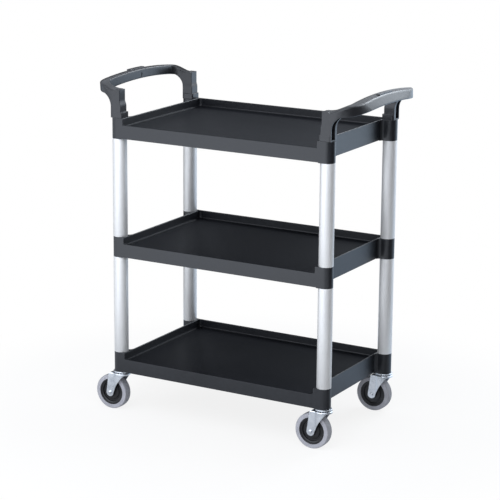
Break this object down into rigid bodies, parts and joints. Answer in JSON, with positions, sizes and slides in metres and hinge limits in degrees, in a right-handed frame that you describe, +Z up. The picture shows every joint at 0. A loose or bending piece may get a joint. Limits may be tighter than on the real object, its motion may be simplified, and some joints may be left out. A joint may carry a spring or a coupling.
{
  "type": "bussing cart",
  "caption": "Open service cart of moulded shelves with low front lips on round metal tubes, with a bowed handle at each end and swivel casters, for clearing tables.",
  "frame": {"origin": "on the floor, under the middle of the cart", "axes": "+Z up; X along the cart's length, from one handle to the other; +Y from the low front lips to the back"},
  "size_m": [0.8196, 0.4184, 0.9496],
  "materials": {
    "shelf_plastic": "black moulded plastic with a fine grain and a soft sheen",
    "handle_plastic": "charcoal moulded plastic, satin",
    "tube_aluminium": "satin anodised",
    "plated_steel": "bright zinc plate",
    "spring_steel": "plain spring steel",
    "ball_steel": "polished",
    "bolt_steel": "bright zinc plate",
    "socket_plastic": "plain moulded plastic",
    "hub_plastic": "black moulded plastic",
    "tread_rubber": "grey thermoplastic rubber, matt"
  },
  "bodies": {
    "cart": {"top_shelf": "shelf_plastic", "middle_shelf": "shelf_plastic", "bottom_shelf": "shelf_plastic", "upper_tube_front_left": "tube_aluminium", "upper_tube_front_right": "tube_aluminium", "upper_tube_back_left": "tube_aluminium", "upper_tube_back_right": "tube_aluminium", "lower_tube_front_left": "tube_aluminium", "lower_tube_front_right": "tube_aluminium", "lower_tube_back_left": "tube_aluminium", "lower_tube_back_right": "tube_aluminium", "left_handle": "handle_plastic", "right_handle": "handle_plastic", "caster_stem_front_left": "plated_steel", "caster_stem_front_right": "plated_steel", "caster_stem_back_left": "plated_steel", "caster_stem_back_right": "plated_steel", "grip_ring_front_left": "spring_steel", "grip_ring_front_right": "spring_steel", "grip_ring_back_left": "spring_steel", "grip_ring_back_right": "spring_steel", "stem_socket_front_left": "socket_plastic", "stem_socket_front_right": "socket_plastic", "stem_socket_back_left": "socket_plastic", "stem_socket_back_right": "socket_plastic"},
    "front_left_swivel": {"caster_fork_front_left": "plated_steel", "swivel_balls_front_left": "ball_steel", "axle_bolt_front_left": "bolt_steel", "axle_nut_front_left": "bolt_steel", "axle_sleeve_front_left": "bolt_steel"},
    "front_left_wheel": {"wheel_hub_front_left": "hub_plastic", "wheel_tread_front_left": "tread_rubber"},
    "front_right_swivel": {"caster_fork_front_right": "plated_steel", "swivel_balls_front_right": "ball_steel", "axle_bolt_front_right": "bolt_steel", "axle_nut_front_right": "bolt_steel", "axle_sleeve_front_right": "bolt_steel"},
    "front_right_wheel": {"wheel_hub_front_right": "hub_plastic", "wheel_tread_front_right": "tread_rubber"},
    "back_left_swivel": {"caster_fork_back_left": "plated_steel", "swivel_balls_back_left": "ball_steel", "axle_bolt_back_left": "bolt_steel", "axle_nut_back_left": "bolt_steel", "axle_sleeve_back_left": "bolt_steel"},
    "back_left_wheel": {"wheel_hub_back_left": "hub_plastic", "wheel_tread_back_left": "tread_rubber"},
    "back_right_swivel": {"caster_fork_back_right": "plated_steel", "swivel_balls_back_right": "ball_steel", "axle_bolt_back_right": "bolt_steel", "axle_nut_back_right": "bolt_steel", "axle_sleeve_back_right": "bolt_steel"},
    "back_right_wheel": {"wheel_hub_back_right": "hub_plastic", "wheel_tread_back_right": "tread_rubber"}
  },
  "joints": [
    {"name": "front_left_swivel_turn", "type": "hinge", "parent": "cart", "child": "front_left_swivel", "pos_m": [-0.32275, -0.18425, 0.11], "axis": [0, 0, 1], "continuous": true},
    {"name": "front_left_wheel_spin", "type": "hinge", "parent": "front_left_swivel", "child": "front_left_wheel", "pos_m": [-0.35125, -0.18425, 0.05], "axis": [0, 1, 0], "continuous": true},
    {"name": "front_right_swivel_turn", "type": "hinge", "parent": "cart", "child": "front_right_swivel", "pos_m": [0.32275, -0.18425, 0.11], "axis": [0, 0, 1], "continuous": true},
    {"name": "front_right_wheel_spin", "type": "hinge", "parent": "front_right_swivel", "child": "front_right_wheel", "pos_m": [0.29425, -0.18425, 0.05], "axis": [0, 1, 0], "continuous": true},
    {"name": "back_left_swivel_turn", "type": "hinge", "parent": "cart", "child": "back_left_swivel", "pos_m": [-0.32275, 0.18425, 0.11], "axis": [0, 0, 1], "continuous": true},
    {"name": "back_left_wheel_spin", "type": "hinge", "parent": "back_left_swivel", "child": "back_left_wheel", "pos_m": [-0.35125, 0.18425, 0.05], "axis": [0, 1, 0], "continuous": true},
    {"name": "back_right_swivel_turn", "type": "hinge", "parent": "cart", "child": "back_right_swivel", "pos_m": [0.32275, 0.18425, 0.11], "axis": [0, 0, 1], "continuous": true},
    {"name": "back_right_wheel_spin", "type": "hinge", "parent": "back_right_swivel", "child": "back_right_wheel", "pos_m": [0.29425, 0.18425, 0.05], "axis": [0, 1, 0], "continuous": true}
  ]
}
